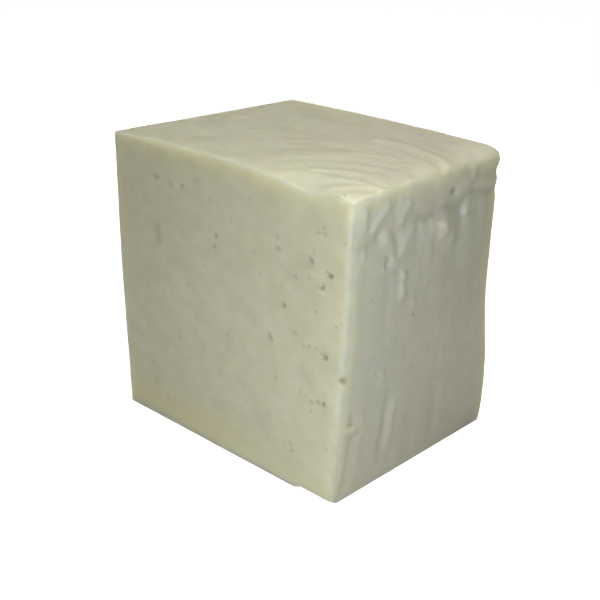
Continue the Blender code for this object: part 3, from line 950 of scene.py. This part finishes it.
# ---------------------------------------------------------------- the floor, the room and the lights
# A plain pale floor and a faint room, which the camera sees as white, and eight soft lamps: two near the
# block's right, two before its front, one overhead, one behind, and two that only add a sheen to the top's
# front edge and to the moist right side.
FLOOR_GLOW, FLOOR_SEEN = 0.02, 0.97
bpy.ops.mesh.primitive_plane_add(size=6, location=(0, 0, 0))
floor = bpy.context.object
floor.name = "floor"
floor_paint = bpy.data.materials.new("floor_paint")
floor_paint.use_nodes = True
nodes, links = floor_paint.node_tree.nodes, floor_paint.node_tree.links
shader = nodes["Principled BSDF"]
shader.inputs["Base Color"].default_value = (0.68, 0.68, 0.68, 1)
shader.inputs["Roughness"].default_value = 0.9
shader.inputs["Specular IOR Level"].default_value = 0.1
shader.inputs["Emission Color"].default_value = (1, 1, 1, 1)
seen = nodes.new("ShaderNodeLightPath").outputs["Is Camera Ray"]
put(shader.inputs["Emission Strength"], span(seen, 0, 1, FLOOR_GLOW, FLOOR_SEEN))
floor.data.materials.append(floor_paint)

ROOM_LIGHT, ROOM_SEEN = 0.03, 1.0
room = bpy.data.worlds.new("room")
room.use_nodes = True
bpy.context.scene.world = room
nodes, links = room.node_tree.nodes, room.node_tree.links
nodes["Background"].inputs["Color"].default_value = (1, 1, 1, 1)
seen = nodes.new("ShaderNodeLightPath").outputs["Is Camera Ray"]
put(nodes["Background"].inputs["Strength"], span(seen, 0, 1, ROOM_LIGHT, ROOM_SEEN))


def add_lamp(name, place, aim, size, power, colour=(1, 1, 1), lights=True, shines=True):
    """A soft rectangular lamp that the camera doesn't see itself. It lights the block, and shines on it."""
    bpy.ops.object.light_add(type="AREA", location=place)
    lamp = bpy.context.object
    lamp.name = name
    lamp.data.shape = "RECTANGLE"
    lamp.data.size, lamp.data.size_y = size
    lamp.data.energy = power
    lamp.data.color = colour
    lamp.rotation_euler = (Vector(aim) - Vector(place)).to_track_quat("-Z", "Y").to_euler()
    lamp.visible_camera = False
    lamp.visible_diffuse = lights
    lamp.visible_glossy = shines


# Each lamp's place, aim, size, power and colour. The one near the right is small, for its shading, and the
# broad one beyond it gives its shine.
NEAR_RIGHT = (0.03, -0.03, 0.05)
add_lamp(
    "right_lamp", (0.175, -0.115, 0.19), NEAR_RIGHT, (0.07, 0.07), 0.200, (0.97, 1.0, 1.03), shines=False
)
add_lamp("sheen_lamp", (0.26, -0.20, 0.30), (0.0, 0.0, 0.08), (0.22, 0.22), 0.16, lights=False)
add_lamp("low_lamp", (0.105, -0.185, 0.035), NEAR_RIGHT, (0.14, 0.05), 0.107)
add_lamp("front_lamp", (0.0, -0.40, 0.15), (0.0, 0.0, 0.05), (0.15, 0.15), 0.070, (1.01, 1.02, 0.95))
add_lamp("top_lamp", (0.0, 0.0, 0.45), (0.0, 0.0, 0.10), (0.3, 0.3), 1.04, (1.01, 0.997, 0.978))
add_lamp("back_lamp", (-0.26, 0.34, 0.045), (-0.03, 0.03, 0.05), (0.24, 0.07), 0.95)
add_lamp(
    "brow_lamp", (-0.20, 0.30, 0.36), (0.0, -0.02, 0.10), (0.15, 0.15), 0.040, (1.03, 1.0, 0.88), lights=False
)
add_lamp(
    "glint_lamp", (0.30, 0.12, 0.065), (0.05, 0.0, 0.07), (0.14, 0.08), 0.15, (0.92, 0.98, 1.08), lights=False
)

# ---------------------------------------------------------------- the camera
# The camera stands near the front right edge and looks down on the block, a little tilted.
CAMERA_PLACE = (0.2462, -0.2731, 0.1980)
CAMERA_AZIMUTH, CAMERA_ELEVATION, CAMERA_ROLL = radians(42.48), radians(22.76), radians(1.40)
LENS = 67.614
bpy.ops.object.camera_add()
camera = bpy.context.object
camera.name = "camera"
camera.data.lens = LENS
camera.data.clip_start = 0.01
backward = Vector(
    (
        sin(CAMERA_AZIMUTH) * cos(CAMERA_ELEVATION),
        -cos(CAMERA_AZIMUTH) * cos(CAMERA_ELEVATION),
        sin(CAMERA_ELEVATION),
    )
)
rightward = (-backward).cross(Vector((0, 0, 1))).normalized()
upward = rightward.cross(-backward)
camera.matrix_world = (
    Matrix.Translation(CAMERA_PLACE)
    @ Matrix((rightward, upward, backward)).transposed().to_4x4()
    @ Matrix.Rotation(CAMERA_ROLL, 4, "Z")
)
bpy.context.scene.camera = camera
bpy.context.scene.view_settings.view_transform = "Standard"
